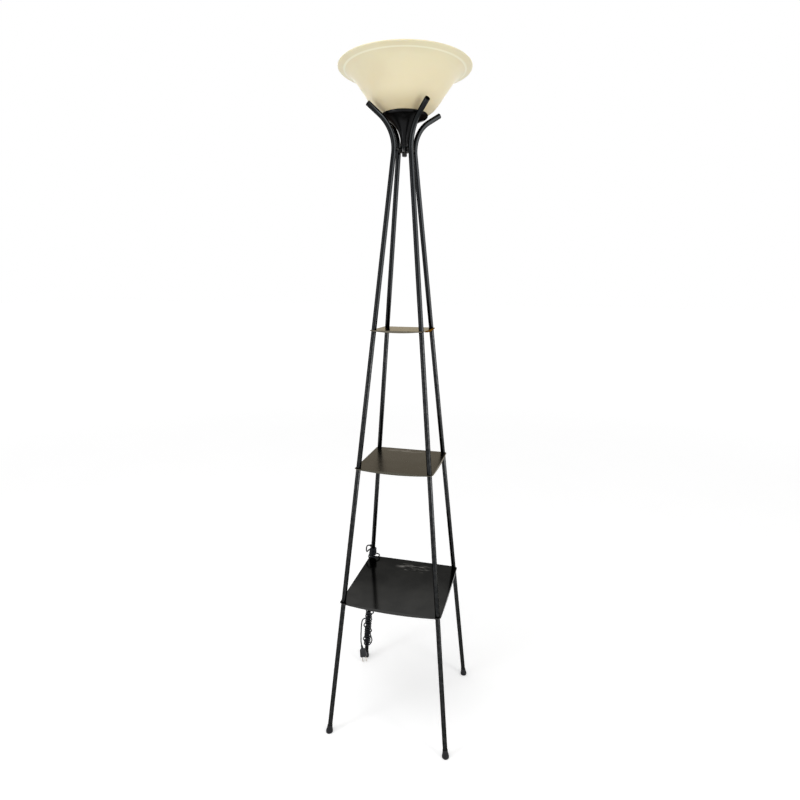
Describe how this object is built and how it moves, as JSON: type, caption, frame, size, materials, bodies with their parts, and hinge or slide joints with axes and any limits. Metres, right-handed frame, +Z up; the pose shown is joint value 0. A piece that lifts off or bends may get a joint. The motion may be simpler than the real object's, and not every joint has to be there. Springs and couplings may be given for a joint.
{
  "type": "floor lamp",
  "caption": "Slender uplight floor lamp: leaning tube legs carry square sheet shelves and a trumpet cup with a frosted glass bowl; its cord is wound on a back leg.",
  "frame": {"origin": "on the floor, at the middle of the square that the four feet stand on", "axes": "+Z up along the lamp; -Y towards the front; +X to the right seen from the front; the legs stand on the diagonals"},
  "size_m": [0.3696, 0.3682, 1.7999],
  "materials": {
    "tube": "satin black lacquer with a bronze tint",
    "cap": "matte black",
    "sheet_bottom": "satin charcoal lacquer, scuffed",
    "sheet_middle": "satin charcoal lacquer with an olive cast",
    "sheet_top": "satin charcoal lacquer, bright at grazing light",
    "stud": "plain steel",
    "hub": "satin black lacquer",
    "cup": "gloss black lacquer",
    "fixing": "zinc plated steel",
    "switch": "moulded phenolic",
    "brass": "plain brass",
    "knob": "black, fluted",
    "glass": "satin frosted cream glass",
    "gasket": "pale silicone",
    "socket": "white moulded",
    "bulb": "white opal",
    "tin": "nickel plated",
    "cord": "soft black sheath",
    "wire": "insulated wires",
    "grommet": "matte black",
    "blade": "bright brass"
  },
  "bodies": {
    "root": {"leg_lower_fr": "tube", "leg_middle_fr": "tube", "leg_upper_fr": "tube", "leg_top_fr": "tube", "foot_cap_fr": "cap", "leg_lower_br": "tube", "leg_middle_br": "tube", "leg_upper_br": "tube", "leg_top_br": "tube", "foot_cap_br": "cap", "leg_lower_bl": "tube", "leg_middle_bl": "tube", "leg_upper_bl": "tube", "leg_top_bl": "tube", "foot_cap_bl": "cap", "leg_lower_fl": "tube", "leg_middle_fl": "tube", "leg_upper_fl": "tube", "leg_top_fl": "tube", "foot_cap_fl": "cap", "shelf_bottom": "sheet_bottom", "studs_bottom": "stud", "tube_inserts_bottom": "stud", "shelf_middle": "sheet_middle", "studs_middle": "stud", "tube_inserts_middle": "stud", "shelf_top": "sheet_top", "studs_top": "stud", "tube_inserts_top": "stud", "hub": "hub", "cup": "cup", "stem_screws": "fixing", "switch_body": "switch", "switch_nut": "brass", "bridge_plate": "fixing", "nipple": "fixing", "nipple_nuts": "fixing", "shade": "glass", "shade_gasket": "gasket", "shade_ring": "socket", "socket_base": "socket", "socket_body": "socket", "screw_shell": "brass", "socket_contact": "brass", "lamp_wires": "wire", "cord_grommet": "grommet", "cord_inner_run": "cord", "cord_winding_upper": "cord", "cord_winding_lower": "cord", "cord_exit_loop": "cord", "cord_crossing": "cord", "plug_body": "cord", "plug_blades": "blade", "cord_lead": "cord"},
    "knob": {"switch_knob": "knob", "switch_shaft": "fixing"},
    "bulb": {"bulb_globe": "bulb", "bulb_base": "tin", "bulb_contact": "tin"}
  },
  "joints": [
    {"name": "knob_turn", "type": "hinge", "parent": "root", "child": "knob", "pos_m": [0, 0, 1.6], "axis": [0, 0, 1], "continuous": true},
    {"name": "bulb_unscrew", "type": "slide", "parent": "root", "child": "bulb", "axis": [0, 0, 1], "range_m": [0, 0.036]}
  ]
}
